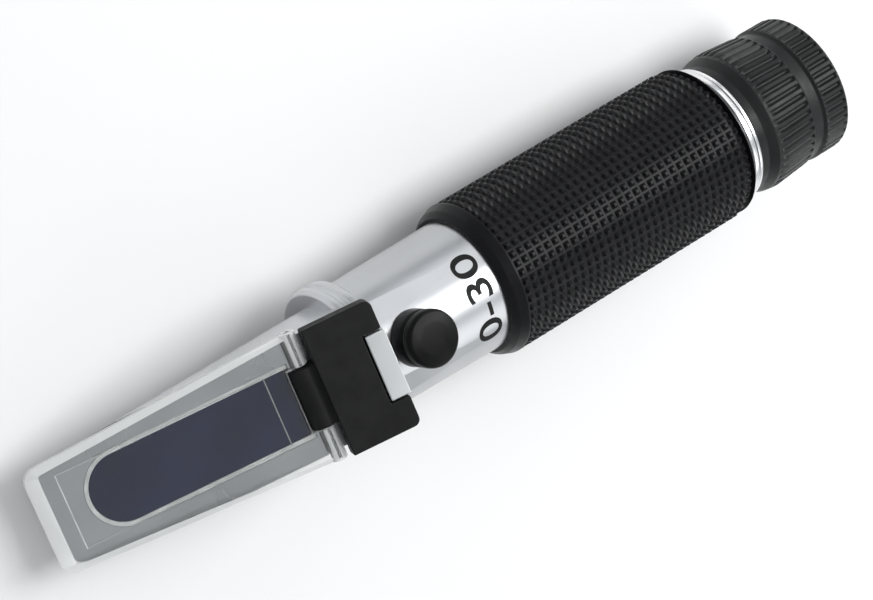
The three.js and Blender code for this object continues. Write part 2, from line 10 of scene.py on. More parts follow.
import bmesh
import bpy
from mathutils import Matrix, Vector


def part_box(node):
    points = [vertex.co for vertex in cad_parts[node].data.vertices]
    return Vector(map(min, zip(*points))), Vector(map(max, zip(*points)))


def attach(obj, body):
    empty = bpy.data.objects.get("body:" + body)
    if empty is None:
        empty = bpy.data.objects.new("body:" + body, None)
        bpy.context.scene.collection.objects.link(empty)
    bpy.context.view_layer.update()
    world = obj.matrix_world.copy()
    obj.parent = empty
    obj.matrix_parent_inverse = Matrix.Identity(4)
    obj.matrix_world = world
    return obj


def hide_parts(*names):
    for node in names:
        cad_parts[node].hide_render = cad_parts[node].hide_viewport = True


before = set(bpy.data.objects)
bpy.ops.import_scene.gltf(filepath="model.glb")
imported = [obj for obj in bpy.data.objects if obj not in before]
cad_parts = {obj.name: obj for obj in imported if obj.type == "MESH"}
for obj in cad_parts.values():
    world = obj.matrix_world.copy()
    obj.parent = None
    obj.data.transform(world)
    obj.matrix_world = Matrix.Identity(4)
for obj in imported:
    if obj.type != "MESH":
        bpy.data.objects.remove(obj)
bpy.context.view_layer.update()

# ---- places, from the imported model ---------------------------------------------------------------

MM = 0.001
AXES = {"x": 0, "y": 1, "z": 2}


def span(node, axis="x"):
    """Lowest and highest coordinate of a CAD node along an axis, in millimetres."""
    low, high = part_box(node)
    return low[AXES[axis]] / MM, high[AXES[axis]] / MM


def middle(node, axis):
    return sum(span(node, axis)) / 2


AXIS_H = middle("grip_sleeve", "z")
PIN_X, PIN_H = middle("hinge_pin", "x"), middle("hinge_pin", "z") - AXIS_H
CAL_X = middle("calibration_cap", "x")
SLOPE = math.radians(18.4)

ON_AXIS = Matrix.Translation((0, 0, AXIS_H))
ON_SLOPE = Matrix.Translation((PIN_X, 0, AXIS_H + PIN_H)) @ Matrix.Rotation(-SLOPE, 4, "Y")
TO_SLOPE = ON_SLOPE.inverted() @ ON_AXIS  # from axis coordinates to slope coordinates
AT_CAP = Matrix.Translation((CAL_X, 0, AXIS_H))

HEAD_X = span("prism_housing")[0]
COLLAR_X = (-26.2, span("prism_housing")[1])
BARREL_X = span("barrel_tube")
BARREL_R_FRONT, BARREL_R_REAR, BARREL_BORE_R = 12.3, 12.6, 10.9
GRIP_X = span("grip_sleeve")
GRIP_R = AXIS_H
TRIM_X = span("trim_ring")
COVER_X = span("eyepiece_cover")

FINE = 256  # sides of a large round piece
ROUND = 96  # sides of a small round piece
FAR = 60  # reach of a cutting tool that goes right through a piece
OVERLAP = 1  # how far a tool or a joined shape runs past a face
GAP = 0.1  # running gap round the pin and the bush
SNUG = 0.05  # fit of the rubber on the barrel
EDGE = 0.12  # bevel on a crisp edge
SOFT_EDGE = 0.25  # bevel on a moulded or milled block


def added(name, data):
    """A new object in the scene."""
    obj = bpy.data.objects.new(name, data)
    bpy.context.scene.collection.objects.link(obj)
    return obj


# ---- camera and stage ----------------------------------------------------------------------------

VIEW_FORWARD = Vector((0.46259, -0.25766, -0.84831))
VIEW_RIGHT = Vector((0.75913, -0.37916, 0.52912))
VIEW_DISTANCE = 800
VIEW_CENTRE = Vector((-2.4, 0.25, AXIS_H))
VIEW_CLIP = (0.01, 20)  # metres
LENS_MM = 187.05
SENSOR_MM = 36

FLOOR_REACH = 3.0  # metres
FLOOR_COLOR, FLOOR_ROUGHNESS = (0.75, 0.75, 0.75, 1), 0.9
SKY_COLOR, SKY_STRENGTH = (0.95, 0.975, 1.0, 1), 0.52
LAMPS = (  # name, place, target and size in metres, power in watts
    ("key_light", (0.42, 0.05, 0.72), (0, 0, 0), (0.4, 1.0), 7.5),
    ("flank_light", (0.52, 0.8, 0.6), (0, 0, 0), (0.4, 0.7), 1.0),
    ("side_light", (0.4, -0.75, 0.5), (0, 0, 0.02), (0.5, 0.6), 1.3),
    ("end_light", (0.8, 0.2, 0.35), (0.03, 0, 0.02), (0.4, 0.3), 0.6),
)


def make_camera():
    data = bpy.data.cameras.new("camera")
    data.lens = LENS_MM
    data.sensor_width = SENSOR_MM
    data.clip_start, data.clip_end = VIEW_CLIP
    camera = added("camera", data)
    forward = VIEW_FORWARD.normalized()
    right = (VIEW_RIGHT - VIEW_RIGHT.dot(forward) * forward).normalized()
    up = right.cross(forward)
    turn = Matrix((right, up, -forward)).transposed()
    place = (VIEW_CENTRE - VIEW_DISTANCE * forward) * MM
    camera.matrix_world = Matrix.Translation(place) @ turn.to_4x4()
    bpy.context.scene.camera = camera


def area_light(name, place, target, size, power):
    data = bpy.data.lights.new(name, "AREA")
    data.shape = "RECTANGLE"
    data.size, data.size_y = size
    data.energy = power
    light = added(name, data)
    light.location = place
    light.rotation_euler = (Vector(target) - Vector(place)).to_track_quat("-Z", "Y").to_euler()


def make_stage():
    """A pale floor, a light tent of soft lamps and an even pale world."""
    mesh = bpy.data.meshes.new("floor")
    near, far = -FLOOR_REACH, FLOOR_REACH
    corners = [(near, near, 0), (far, near, 0), (far, far, 0), (near, far, 0)]
    mesh.from_pydata(corners, [], [(0, 1, 2, 3)])
    floor = added("floor", mesh)
    paint = bpy.data.materials.new("floor_paint")
    paint.use_nodes = True
    shader = paint.node_tree.nodes["Principled BSDF"]
    shader.inputs["Base Color"].default_value = FLOOR_COLOR
    shader.inputs["Roughness"].default_value = FLOOR_ROUGHNESS
    mesh.materials.append(paint)

    world = bpy.data.worlds.new("world")
    bpy.context.scene.world = world
    world.use_nodes = True
    sky = world.node_tree.nodes["Background"]
    sky.inputs["Color"].default_value = SKY_COLOR
    sky.inputs["Strength"].default_value = SKY_STRENGTH
    for lamp in LAMPS:
        area_light(*lamp)
    bpy.context.scene.view_settings.view_transform = "Standard"


# ---- mesh tools ----------------------------------------------------------------------------------

POINT_R = 1e-6  # a radius below this is a point on the axis


def spread(start, end, steps):
    """Evenly spaced values from start to end, with both of them."""
    return [start + (end - start) * k / steps for k in range(steps + 1)]


def on_ring(x, radius, angle):
    return x, radius * math.sin(angle), radius * math.cos(angle)


def mesh_of(bm):
    bmesh.ops.recalc_face_normals(bm, faces=bm.faces)
    mesh = bpy.data.meshes.new("shape")
    bm.to_mesh(mesh)
    bm.free()
    return mesh


def rounded(corners, steps=5):
    """A closed outline with some corners rounded. A corner is (a, b) or (a, b, radius)."""
    points = []
    count = len(corners)
    for i, corner in enumerate(corners):
        here = Vector(corner[:2])
        radius = corner[2] if len(corner) > 2 else 0
        if not radius:
            points.append(tuple(here))
            continue
        before = (Vector(corners[i - 1][:2]) - here).normalized()
        after = (Vector(corners[(i + 1) % count][:2]) - here).normalized()
        half = before.angle(after) / 2
        reach = radius / math.tan(half)
        centre = here + (before + after).normalized() * (radius / math.sin(half))
        start, end = here + before * reach - centre, here + after * reach - centre
        sweep = start.angle_signed(end)
        for k in range(steps + 1):
            turn = Matrix.Rotation(-sweep * k / steps, 2)
            points.append(tuple(centre + turn @ start))
    return points


def turned(profile, sides=FINE, radius_at=None, angles=None):
    """A closed profile of (x, r) points turned about the X axis.

    radius_at(x, r, angle) may reshape it, and angles may give its own places round the axis.
    """
    angles = angles or [2 * math.pi * i / sides for i in range(sides)]
    count = len(angles)
    bm = bmesh.new()
    rings = []
    for x, r in profile:
        if r < POINT_R:
            rings.append([bm.verts.new((x, 0, 0))])
            continue
        ring = []
        for angle in angles:
            radius = radius_at(x, r, angle) if radius_at else r
            ring.append(bm.verts.new(on_ring(x, radius, angle)))
        rings.append(ring)
    for first, second in zip(rings, rings[1:] + rings[:1]):
        if len(first) == 1 and len(second) == 1:
            continue
        for i in range(count):
            j = (i + 1) % count
            loop = [
                first[i % len(first)], second[i % len(second)],
                second[j % len(second)], first[j % len(first)],
            ]
            corners = list(dict.fromkeys(loop))
            if len(corners) > 2:
                bm.faces.new(corners)
    return mesh_of(bm)


def moved(mesh, matrix):
    mesh.transform(matrix)
    return mesh


def upright(mesh):
    """Stands a shape that was turned about X on the Z axis."""
    return moved(mesh, Matrix.Rotation(-math.pi / 2, 4, "Y"))


def extruded(outline, low, high, top=None):
    """A flat outline in X and Y raised from low to high. top may give a smaller one above."""
    bm = bmesh.new()
    lower = [bm.verts.new((x, y, low)) for x, y in outline]
    upper = [bm.verts.new((x, y, high)) for x, y in (top or outline)]
    bm.faces.new(lower[::-1])
    bm.faces.new(upper)
    count = len(outline)
    for i in range(count):
        j = (i + 1) % count
        bm.faces.new((lower[i], lower[j], upper[j], upper[i]))
    return mesh_of(bm)


def block(x, y, z):
    outline = [(x[0], y[0]), (x[1], y[0]), (x[1], y[1]), (x[0], y[1])]
    return extruded(outline, *z)


def across(outline, half):
    """A flat outline in X and Z, thickened evenly to both sides of Y = 0."""
    return moved(extruded(outline, -half, half), Matrix.Rotation(math.pi / 2, 4, "X"))


def bore(radius, start, end, sides=FINE):
    return turned([(start, 0), (start, radius), (end, radius), (end, 0)], sides)


def pin_along_y(radius, half, chamfer=0.15):
    profile = [(-half, 0), (-half, radius - chamfer), (-half + chamfer, radius)]
    profile += [(half - chamfer, radius), (half, radius - chamfer), (half, 0)]
    return moved(turned(profile, ROUND), Matrix.Rotation(math.pi / 2, 4, "Z"))


def evaluated(obj):
    """The mesh of an object with its modifiers applied. The object is removed."""
    graph = bpy.context.evaluated_depsgraph_get()
    mesh = bpy.data.meshes.new_from_object(obj.evaluated_get(graph))
    bpy.data.objects.remove(obj)
    return mesh


def combined(mesh, operation, *tools):
    """mesh with tools cut from it (DIFFERENCE), joined to it (UNION) or kept in common."""
    for tool in tools:
        base, other = added("base", mesh), added("tool", tool)
        modifier = base.modifiers.new("combine", "BOOLEAN")
        modifier.operation = operation
        modifier.object = other
        modifier.solver = "MANIFOLD"
        mesh = evaluated(base)
        bpy.data.objects.remove(other)
    return mesh


def bevelled(mesh, width, angle=30, segments=3):
    base = added("base", mesh)
    modifier = base.modifiers.new("bevel", "BEVEL")
    modifier.width = width
    modifier.segments = segments
    modifier.limit_method = "ANGLE"
    modifier.angle_limit = math.radians(angle)
    return evaluated(base)


def shade(mesh, angle):
    """Smooth faces, with sharp edges where the surface turns by more than an angle."""
    bm = bmesh.new()
    bm.from_mesh(mesh)
    limit = math.radians(angle)
    for face in bm.faces:
        face.smooth = True
    for edge in bm.edges:
        edge.smooth = len(edge.link_faces) == 2 and edge.calc_face_angle(0) < limit
    bm.to_mesh(mesh)
    bm.free()


def flat_faced(mesh):
    """Keeps large faces evenly lit, with the turn of the surface held in the bevels beside them."""
    base = added("base", mesh)
    modifier = base.modifiers.new("normals", "WEIGHTED_NORMAL")
    modifier.keep_sharp = True
    return evaluated(base)


def coated(mesh, *materials):
    """Gives a mesh these materials and no others."""
    mesh.materials.clear()
    for material in materials:
        mesh.materials.append(material)
    return mesh


def piece(name, mesh, place, body, nodes, material=None, sharp=32):
    """A finished piece of the object: placed, shaded, painted, and riding on its body."""
    mesh.transform(Matrix.Scale(MM, 4) @ place)
    shade(mesh, sharp)
    mesh = flat_faced(mesh)
    mesh.name = name
    if material:
        coated(mesh, material)
    obj = added(name, mesh)
    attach(obj, body)
    if nodes:
        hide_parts(*nodes)
    return obj


# ---- finishes ------------------------------------------------------------------------------------

NOISE_SPAN = (0.3, 0.7)  # where most of a noise lies
EVEN = (1, 1, 1)
LATHE_MARKS = (1, 0.02, 0.02)  # noise drawn out round the barrel
CLEAR_IOR, GLASS_IOR = 1.49, 1.52


def finish_nodes(name, color, roughness, metallic=0.0):
    material = bpy.data.materials.new(name)
    material.use_nodes = True
    tree = material.node_tree
    shader = tree.nodes["Principled BSDF"]
    shader.inputs["Base Color"].default_value = (*color, 1)
    shader.inputs["Roughness"].default_value = roughness
    shader.inputs["Metallic"].default_value = metallic
    return material, tree, shader


def noise(tree, scale, detail, stretch=EVEN):
    """Noise in the row frame, with scale in lumps per metre."""
    coordinates = tree.nodes.new("ShaderNodeTexCoord")
    mapping = tree.nodes.new("ShaderNodeMapping")
    mapping.inputs["Scale"].default_value = stretch
    texture = tree.nodes.new("ShaderNodeTexNoise")
    texture.inputs["Scale"].default_value = scale
    texture.inputs["Detail"].default_value = detail
    tree.links.new(coordinates.outputs["Object"], mapping.inputs["Vector"])
    tree.links.new(mapping.outputs["Vector"], texture.inputs["Vector"])
    return texture.outputs["Fac"]


def vary_color(tree, shader, factor, stops):
    """Lets the colour follow a factor. stops is a list of (position, colour)."""
    ramp = tree.nodes.new("ShaderNodeValToRGB")
    elements = ramp.color_ramp.elements
    while len(elements) < len(stops):
        elements.new(0.5)
    for element, (position, color) in zip(elements, stops):
        element.position = position
        element.color = (*color, 1)
    tree.links.new(factor, ramp.inputs["Fac"])
    tree.links.new(ramp.outputs["Color"], shader.inputs["Base Color"])


def vary_roughness(tree, shader, factor, low, high):
    """Lets the polish wander between two roughnesses."""
    scale = tree.nodes.new("ShaderNodeMapRange")
    scale.inputs["From Min"].default_value, scale.inputs["From Max"].default_value = NOISE_SPAN
    scale.inputs["To Min"].default_value = low
    scale.inputs["To Max"].default_value = high
    tree.links.new(factor, scale.inputs["Value"])
    tree.links.new(scale.outputs["Result"], shader.inputs["Roughness"])


def bump(tree, shader, height, strength, distance):
    """Fine relief, with its distance in millimetres."""
    node = tree.nodes.new("ShaderNodeBump")
    node.inputs["Strength"].default_value = strength
    node.inputs["Distance"].default_value = distance * MM
    tree.links.new(height, node.inputs["Height"])
    tree.links.new(node.outputs["Normal"], shader.inputs["Normal"])


def tints(color, low, high):
    """Two stops of a colour, darker and lighter than it. Each is (position, share)."""
    return [(place, tuple(min(1.0, c * share) for c in color)) for place, share in (low, high)]


def satin_metal(name, color, roughness, stretch=EVEN):
    """Bead-blasted or finely turned metal with a satin plating."""
    material, tree, shader = finish_nodes(name, color, roughness, metallic=1.0)
    vary_color(tree, shader, noise(tree, 70, 1), tints(color, (0.3, 0.93), (0.7, 1.05)))
    marks = noise(tree, 90, 1, stretch)
    vary_roughness(tree, shader, marks, roughness * 0.9, roughness * 1.15)
    bump(tree, shader, noise(tree, 300, 1, stretch), 0.12, 0.03)
    return material


def rubber(name, color, roughness, specular=0.24):
    """Moulded rubber with a fine grain and the faint grey bloom of handling."""
    material, tree, shader = finish_nodes(name, color, roughness)
    vary_color(tree, shader, noise(tree, 220, 3), tints(color, (0.35, 0.8), (0.7, 1.35)))
    vary_roughness(tree, shader, noise(tree, 500, 2), roughness * 0.85, roughness * 1.15)
    shader.inputs["Specular IOR Level"].default_value = specular
    shader.inputs["Sheen Weight"].default_value = 0.05
    shader.inputs["Sheen Roughness"].default_value = 0.4
    bump(tree, shader, noise(tree, 2500, 3), 0.35, 0.01)
    return material


def moulded_plastic(name, color, roughness, specular=0.5):
    material, tree, shader = finish_nodes(name, color, roughness)
    shader.inputs["Specular IOR Level"].default_value = specular
    vary_color(tree, shader, noise(tree, 300, 3), tints(color, (0.35, 0.85), (0.7, 1.2)))
    vary_roughness(tree, shader, noise(tree, 600, 2), roughness * 0.85, roughness * 1.2)
    bump(tree, shader, noise(tree, 1200, 1), 0.15, 0.01)
    return material


def clear(name, color, ior, roughness=0.02):
    """Clear plastic or glass, a little less polished in places."""
    material, tree, shader = finish_nodes(name, color, roughness)
    shader.inputs["Transmission Weight"].default_value = 1.0
    shader.inputs["IOR"].default_value = ior
    vary_roughness(tree, shader, noise(tree, 70, 1), roughness * 0.6, roughness * 1.6)
    bump(tree, shader, noise(tree, 100, 1), 0.05, 0.05)
    return material


def painted_edge_light(name, color, ior, clearness):
    """Milky edges of clear plastic, partly diffuse white: painted light where light gathers."""
    material, tree, shader = finish_nodes(name, color, 0.2)
    shader.inputs["Transmission Weight"].default_value = clearness
    shader.inputs["IOR"].default_value = ior
    vary_roughness(tree, shader, noise(tree, 90, 1), 0.14, 0.26)
    bump(tree, shader, noise(tree, 120, 1), 0.1, 0.06)
    return material


def dark_prism(name):
    """The polished prism face, dark blue from the unlit barrel behind it."""
    material, tree, shader = finish_nodes(name, (0.03, 0.035, 0.07), 0.12)
    shader.inputs["Specular IOR Level"].default_value = 0.3
    vary_color(tree, shader, noise(tree, 90, 1), [
        (0.3, (0.004, 0.008, 0.040)), (0.5, (0.006, 0.011, 0.052)), (0.72, (0.010, 0.016, 0.064)),
    ])
    vary_roughness(tree, shader, noise(tree, 70, 1), 0.1, 0.14)
    bump(tree, shader, noise(tree, 120, 1), 0.05, 0.02)
    return material


def make_finishes():
    return {
        "barrel": satin_metal("barrel_plating", (0.51, 0.52, 0.535), 0.32, LATHE_MARKS),
        "housing": satin_metal("housing_plating", (0.54, 0.55, 0.565), 0.28),
        "block": satin_metal("block_milled", (0.57, 0.585, 0.59), 0.42),
        "chrome": satin_metal("chrome_plating", (0.80, 0.81, 0.82), 0.22, LATHE_MARKS),
        "steel": satin_metal("steel_rod", (0.45, 0.45, 0.46), 0.25),
        "brass": satin_metal("brass_turned", (0.62, 0.44, 0.16), 0.3),
        "black_metal": satin_metal("black_anodised", (0.018, 0.018, 0.02), 0.45),
        "bimetal": satin_metal("bimetal_rolled", (0.42, 0.36, 0.27), 0.35),
        "grip": rubber("grip_rubber_black", (0.005, 0.005, 0.006), 0.36, 0.15),
        "cover": rubber("cover_rubber_black", (0.008, 0.009, 0.009), 0.42),
        "cap": rubber("cap_rubber_black", (0.004, 0.004, 0.004), 0.34, 0.1),
        "bracket": moulded_plastic("bracket_black", (0.012, 0.012, 0.012), 0.5, 0.1),
        "core": moulded_plastic("core_black", (0.010, 0.010, 0.010), 0.35, 0.35),
        "sealant": moulded_plastic("sealant_pale", (0.84, 0.86, 0.85), 0.4),
        "ink": moulded_plastic("ink_black", (0.006, 0.006, 0.006), 0.6, 0.2),
        "plate": clear("plate_acrylic", (0.96, 0.97, 0.965), CLEAR_IOR),
        # painted light: the plate's border and sides are partly diffuse white to show the brightness
        # gathered along its edges
        "plate_edge": painted_edge_light("plate_edge", (0.96, 0.97, 0.965), CLEAR_IOR, 0.45),
        # painted shade: the recessed underside round the pad is tinted a little darker, so the frame
        # seen through it looks shaded
        "plate_recess_shade": clear("plate_recess_shade", (0.93, 0.935, 0.93), CLEAR_IOR),
        "glass": clear("optical_glass", (0.95, 0.98, 0.98), GLASS_IOR, 0.005),
        "prism": dark_prism("prism_face"),
    }


# ---- prism head ----------------------------------------------------------------------------------

FACE_UP = -1.15  # top of the frame round the prism
HEAD_R = 10.85  # round belly
TIP_EDGE_R = 1.1
TIP_WALL = 2  # metal left in front of the bay
BAY_R = 9.0  # hollow that holds the prism
BAY_HALF = 7.1
BAY_REAR = -2.0
PRISM_HALF = 6.2
PRISM_FRONT = -41.9
PRISM_REAR_X = -39.6  # upright rear face, on the axis
PRISM_FLOOR = -6.0  # on the axis
PRISM_PROUD = 0.02
SEAL_TIP, SEAL_DEPTH, SEAL_PROUD, SEAL_EDGE = 0.85, 1, 0.05, 0.15
COLLAR_R = 14.05
COLLAR_BORE_R = 12.6
SOCKET_SPACE = 0.3  # room in front of the barrel
BLOCK_HALF = 6.2
BLOCK_X = (11.7, 19.7)
BLOCK_REAR_X = -23.6  # upright rear face, on the axis
BLOCK_FOOT = -2.4
BRACKET_UP = 3.36
POCKET_R, POCKET_HALF = 1.9, 10  # recess for each knuckle of the plate


def window_cutter(front, rear, half, low, high):
    """The long window as a solid: a half circle at the tip end and a square rear end."""
    centre = front + half
    arc = [(centre - half * math.sin(a), half * math.cos(a)) for a in spread(0, math.pi, 32)]
    outline = [(rear, half)] + arc + [(rear, -half)]
    return extruded(outline[::-1], low, high)


def head_belly():
    """A trough with a round belly and straight sides, its lower tip edge rounded."""
    turns = spread(-math.pi / 2, math.pi / 2, 96)
    belly = [(HEAD_R * math.sin(a), -HEAD_R * math.cos(a)) for a in turns]
    length = COLLAR_X[0] + OVERLAP - HEAD_X
    trough = extruded(belly + [(HEAD_R, FAR), (-HEAD_R, FAR)], 0, length)
    stand = Matrix(((0, 0, 1, HEAD_X), (1, 0, 0, 0), (0, 1, 0, 0), (0, 0, 0, 1)))
    trough = bevelled(moved(trough, stand), TIP_EDGE_R, angle=60, segments=6)
    above = block((-2 * FAR, 2 * FAR), (-FAR, FAR), (FACE_UP, 3 * FAR))
    return combined(moved(trough, TO_SLOPE), "DIFFERENCE", above)


def prism_bay():
    """The hollow under the window: round below, straight above, with a wall left at the tip."""
    window = window_cutter(PRISM_FRONT - BAY_HALF + PRISM_HALF, BAY_REAR, BAY_HALF, -FAR, FAR)
    front, rear, ease, inset = HEAD_X + TIP_WALL, 0, 0.03, 0.1
    lower = bore(BAY_R - ease, front, rear)
    half = BAY_R - inset
    upper = block((front - inset, rear + OVERLAP), (-half, half), (0, FAR))
    room = combined(moved(lower, TO_SLOPE), "UNION", moved(upper, TO_SLOPE))
    return combined(window, "INTERSECT", room)


def collar():
    """The ridged collar: two soft ridges with a groove, swelling out of the barrel."""
    front, rear = COLLAR_X
    centre = (front + rear) / 2
    inner, low = BAY_R - 0.5, COLLAR_R - 0.55
    rise, crest, floor = 0.7, 0.8, 0.4  # run of the outer slopes, half widths of the groove
    outline = rounded([
        (front, inner), (front, low, 0.5), (front + rise, COLLAR_R, 0.5),
        (centre - crest, COLLAR_R, 0.4), (centre - floor, low, 0.25),
        (centre + floor, low, 0.25), (centre + crest, COLLAR_R, 0.4),
        (rear - rise, COLLAR_R, 0.5), (rear, low, 0.4), (rear, inner),
    ])
    return moved(turned(outline), TO_SLOPE)


def bracket_block():
    """The raised block behind the hinge, with an upright rear face."""
    solid = block(BLOCK_X, (-BLOCK_HALF, BLOCK_HALF), (BLOCK_FOOT, BRACKET_UP))
    behind = moved(block((BLOCK_REAR_X, FAR), (-FAR, FAR), (-FAR, FAR)), TO_SLOPE)
    return bevelled(combined(solid, "DIFFERENCE", behind), SOFT_EDGE)


def knuckle_pockets():
    """Cutters that clear the housing where the plate's knuckles turn."""
    pocket_y = SLOT_HALF + POCKET_HALF
    for side in (-1, 1):
        pocket = pin_along_y(POCKET_R, POCKET_HALF, chamfer=0.1)
        yield moved(pocket, Matrix.Translation((0, side * pocket_y, 0)))


def prism_housing(finish, block_finish):
    """The head: belly, collar and block, hollowed for the prism, the light and the barrel."""
    end = COLLAR_X[1] + OVERLAP
    passage = moved(bore(BAY_R, PRISM_REAR_X - OVERLAP, end), TO_SLOPE)
    socket = moved(bore(COLLAR_BORE_R, BARREL_X[0] - SOCKET_SPACE, end), TO_SLOPE)
    shell = combined(head_belly(), "DIFFERENCE", prism_bay())
    shell = combined(bevelled(shell, EDGE, angle=40, segments=2), "UNION", collar())
    shell = combined(shell, "DIFFERENCE", passage, socket, *knuckle_pockets())
    shell = coated(combined(shell, "UNION", bracket_block()), finish, block_finish)
    near = 0.1
    for face in shell.polygons:
        x, y, _ = face.center
        face.material_index = int(x > BLOCK_X[0] - near and abs(y) < BLOCK_HALF + near)
    piece("prism_housing_fine", shell, ON_SLOPE, "instrument", ["prism_housing"])


def main_prism(finish):
    top = FACE_UP + PRISM_PROUD
    column = window_cutter(PRISM_FRONT, BAY_REAR + FAR, PRISM_HALF, -FAR, top)
    room = moved(block((HEAD_X, PRISM_REAR_X), (-FAR, FAR), (PRISM_FLOOR, FAR)), TO_SLOPE)
    wedge = bevelled(combined(column, "INTERSECT", room), EDGE)
    piece("main_prism_fine", wedge, ON_SLOPE, "instrument", ["main_prism"], finish)


def prism_seal(finish):
    """The bead of sealant between the prism and its frame."""
    low, high = FACE_UP - SEAL_DEPTH, FACE_UP + SEAL_PROUD
    rear, half, fit = BAY_REAR - 0.1, BAY_HALF - 0.03, 0.02
    outer = window_cutter(PRISM_FRONT - SEAL_TIP, rear, half, low, high)
    inner = window_cutter(PRISM_FRONT - fit, FAR, PRISM_HALF + fit, -FAR, FAR)
    bead = bevelled(combined(outer, "DIFFERENCE", inner), SEAL_EDGE)
    piece("prism_seal_fine", bead, ON_SLOPE, "instrument", ["prism_seal"], finish)


# ---- daylight plate and hinge --------------------------------------------------------------------

PLATE_UP, PLATE_LOW = 1.15, -0.85
PLATE_TIP = (span("daylight_plate")[0] - PIN_X + PLATE_UP * math.sin(SLOPE)) / math.cos(SLOPE)
PLATE_TIP_HALF, PLATE_EAR_HALF = 9.9, 12.2
PLATE_CORNER_R = 2.6
PLATE_EDGE = 0.14
BORDER, BORDER_DROP = 2.2, 0.75  # sloping border of the plate
FLAT_NORMAL = 0.985  # a normal this upright belongs to a flat face
KNUCKLE_R = 1.5
PIN_R, PIN_HALF = 0.6, 12.0
SLOT_FRONT, SLOT_HALF = -2.7, 5.9  # opening between the ears, for the tongue
PAD_X = (-45.7, -6.75)
PAD_HALF = (6.9, 6.35)
PAD_DROP, PAD_ROOT, PAD_FLARE = 0.12, 0.3, 0.7
BRACKET_X = (2, 15.0)
BRACKET_HALF, BRACKET_THICK = 12.0, 3
NOTCH_FRONT, NOTCH_FIT = 11.4, 0.3  # the notch that takes the block
TONGUE_HALF, TONGUE_REAR, TONGUE_EDGE = 5.6, 10.8, 0.9
NOSE_R, NOSE_TOP = 2.4, math.radians(56)


def plate_outline(inset=0.0):
    """Plan of the plate. An inset moves the tip most and the long sides less. The rear stays."""
    tip = PLATE_TIP + inset * 1.15
    corner = PLATE_CORNER_R - inset * 0.85
    half = PLATE_TIP_HALF - inset * 0.6
    ear = PLATE_EAR_HALF - inset * 0.4
    x, y = tip + corner, half - corner
    turns = spread(0, math.pi / 2, 8)
    far_corner = [(x - corner * math.sin(a), y + corner * math.cos(a)) for a in turns]
    near_corner = [(x - corner * math.cos(a), -y - corner * math.sin(a)) for a in turns]
    slot = [(0, -SLOT_HALF), (SLOT_FRONT, -SLOT_HALF), (SLOT_FRONT, SLOT_HALF), (0, SLOT_HALF)]
    return slot + [(0, ear)] + far_corner + near_corner + [(0, -ear)]


def pad_outline(inset):
    """Plan of the pad under the plate: nearly a rectangle, a little wider at the tip."""
    tip, rear = PAD_X[0] - inset, PAD_X[1] + inset
    tip_half, rear_half = PAD_HALF[0] + inset, PAD_HALF[1] + inset
    return [(tip, -tip_half), (rear, -rear_half), (rear, rear_half), (tip, tip_half)]


def daylight_plate(finish, edge_finish, recess_shade_finish):
    """A clear plate with a sloping border, a raised pad underneath and two bored knuckles."""
    outline, top = plate_outline()[::-1], plate_outline(BORDER)[::-1]
    slab = extruded(outline, PLATE_LOW, PLATE_UP - BORDER_DROP)
    crown = extruded(outline, PLATE_UP - BORDER_DROP, PLATE_UP, top)
    flare = pad_outline(PAD_FLARE)
    pad = extruded(pad_outline(0), PLATE_LOW - PAD_DROP, PLATE_LOW + PAD_ROOT, flare)
    plate = bevelled(combined(slab, "UNION", crown, pad), PLATE_EDGE, angle=20)
    half = (PLATE_EAR_HALF - SLOT_HALF) / 2
    for side in (-1, 1):
        place = Matrix.Translation((0, side * (SLOT_HALF + half), 0))
        plate = combined(plate, "UNION", moved(pin_along_y(KNUCKLE_R, half), place))
    plate = combined(plate, "DIFFERENCE", pin_along_y(PIN_R + GAP, FAR))
    plate = coated(plate, finish, edge_finish, recess_shade_finish)
    recess_up = PLATE_LOW - PAD_DROP / 2
    for face in plate.polygons:
        # the recessed underside round the pad takes the darker tint, painted shade over the frame
        # beneath
        if face.normal.z < -FLAT_NORMAL and face.center.z > recess_up:
            face.material_index = 2
        else:
            # tilted faces of the border and sides take the partly diffuse edge finish, painted light
            face.material_index = int(abs(face.normal.z) < FLAT_NORMAL)
    piece("daylight_plate_fine", plate, ON_SLOPE, "plate", ["daylight_plate"])


def hinge_bracket(finish):
    """Two wings behind the plate, and a tongue whose round nose carries the pin."""
    front, rear = BRACKET_X
    notch, half = BLOCK_HALF + NOTCH_FIT, BRACKET_HALF
    wings = rounded([
        (front, -half, 0.3), (rear, -half, 1.3), (rear, -notch, 0.3), (NOTCH_FRONT, -notch),
        (NOTCH_FRONT, notch), (rear, notch, 0.3), (rear, half, 1.3), (front, half, 0.3),
    ])
    wings = bevelled(extruded(wings, BRACKET_UP - BRACKET_THICK, BRACKET_UP), SOFT_EDGE)
    turns = spread(math.pi - math.asin(PLATE_LOW / NOSE_R), NOSE_TOP, 24)
    nose = [(NOSE_R * math.cos(a), NOSE_R * math.sin(a)) for a in turns]
    top = BRACKET_UP - 0.1
    side = nose + [(4.0, top), (TONGUE_REAR, top), (TONGUE_REAR, PLATE_LOW)]
    tongue = bevelled(across(side[::-1], TONGUE_HALF), TONGUE_EDGE, angle=50, segments=5)
    bracket = combined(wings, "UNION", tongue)
    bracket = combined(bracket, "DIFFERENCE", pin_along_y(PIN_R + GAP, FAR))
    nodes = ["hinge_bracket"]
    piece("hinge_bracket_fine", bracket, ON_SLOPE, "instrument", nodes, finish)


def hinge_pin(finish):
    rod = pin_along_y(PIN_R, PIN_HALF)
    piece("hinge_pin_fine", rod, ON_SLOPE, "instrument", ["hinge_pin"], finish)


# ---- barrel --------------------------------------------------------------------------------------

